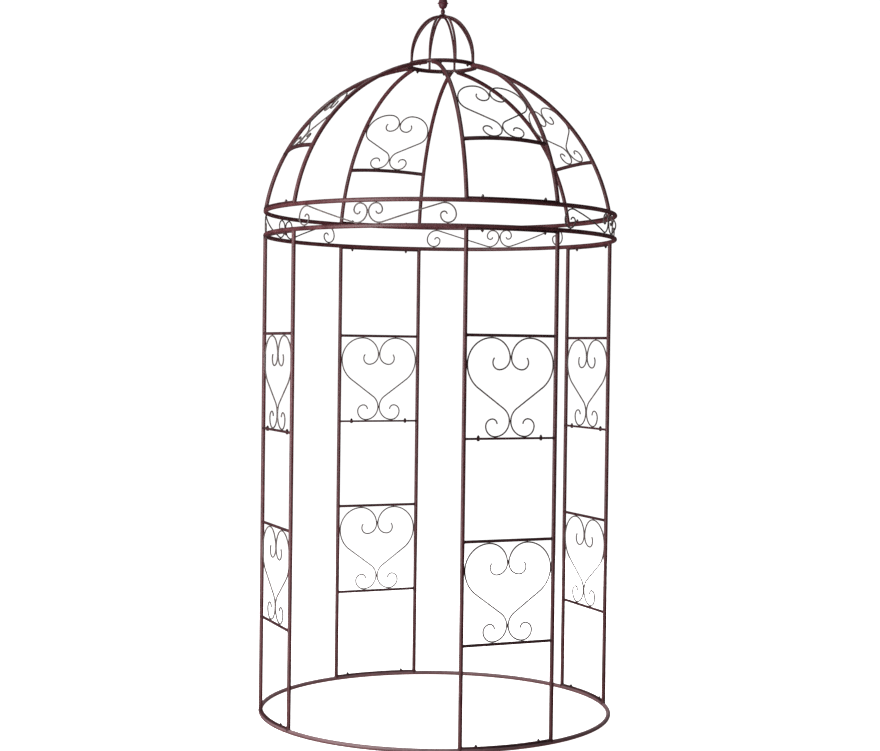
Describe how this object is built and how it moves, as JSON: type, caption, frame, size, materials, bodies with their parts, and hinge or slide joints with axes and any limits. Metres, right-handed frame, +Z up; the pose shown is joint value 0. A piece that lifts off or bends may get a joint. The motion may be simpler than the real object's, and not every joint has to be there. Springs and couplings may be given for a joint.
{
  "type": "garden pavilion",
  "caption": "Round open garden pavilion of painted steel tube, with heart panels in the walls, a scrolled band, a ribbed dome with hearts, and a hooped crown with a turned finial.",
  "frame": {"origin": "centre of the floor ring, on the ground", "axes": "+Z up along the pavilion's axis, -Y towards the front panel, +X to the right of someone facing the front"},
  "size_m": [1.5018, 1.5018, 3.056],
  "materials": {
    "tube_paint": "satin, dark reddish brown, lightly weathered",
    "bar_paint": "satin, dark reddish brown",
    "wire_paint": "satin, dark reddish brown, weathered towards grey",
    "finial_paint": "satin, dark reddish brown, on a turned casting"
  },
  "bodies": {
    "root": {"floor_ring": "tube_paint", "front_lower_posts": "tube_paint", "front_lower_bars": "bar_paint", "front_lower_heart": "wire_paint", "front_upper_posts": "tube_paint", "front_upper_bars": "bar_paint", "front_upper_heart": "wire_paint", "right_lower_posts": "tube_paint", "right_lower_bars": "bar_paint", "right_lower_heart": "wire_paint", "right_upper_posts": "tube_paint", "right_upper_bars": "bar_paint", "right_upper_heart": "wire_paint", "back_lower_posts": "tube_paint", "back_lower_bars": "bar_paint", "back_lower_heart": "wire_paint", "back_upper_posts": "tube_paint", "back_upper_bars": "bar_paint", "back_upper_heart": "wire_paint", "left_lower_posts": "tube_paint", "left_lower_bars": "bar_paint", "left_lower_heart": "wire_paint", "left_upper_posts": "tube_paint", "left_upper_bars": "bar_paint", "left_upper_heart": "wire_paint", "band_lower_ring": "tube_paint", "band_upper_ring": "tube_paint", "front_right_scroll": "wire_paint", "back_right_scroll": "wire_paint", "back_left_scroll": "wire_paint", "front_left_scroll": "wire_paint", "front_dome_ribs": "tube_paint", "front_dome_bars": "bar_paint", "front_dome_heart": "wire_paint", "right_dome_ribs": "tube_paint", "right_dome_bars": "bar_paint", "right_dome_heart": "wire_paint", "back_dome_ribs": "tube_paint", "back_dome_bars": "bar_paint", "back_dome_heart": "wire_paint", "left_dome_ribs": "tube_paint", "left_dome_bars": "bar_paint", "left_dome_heart": "wire_paint", "crown_ring": "tube_paint", "crown_hoops": "tube_paint", "finial": "finial_paint"}
  },
  "joints": []
}
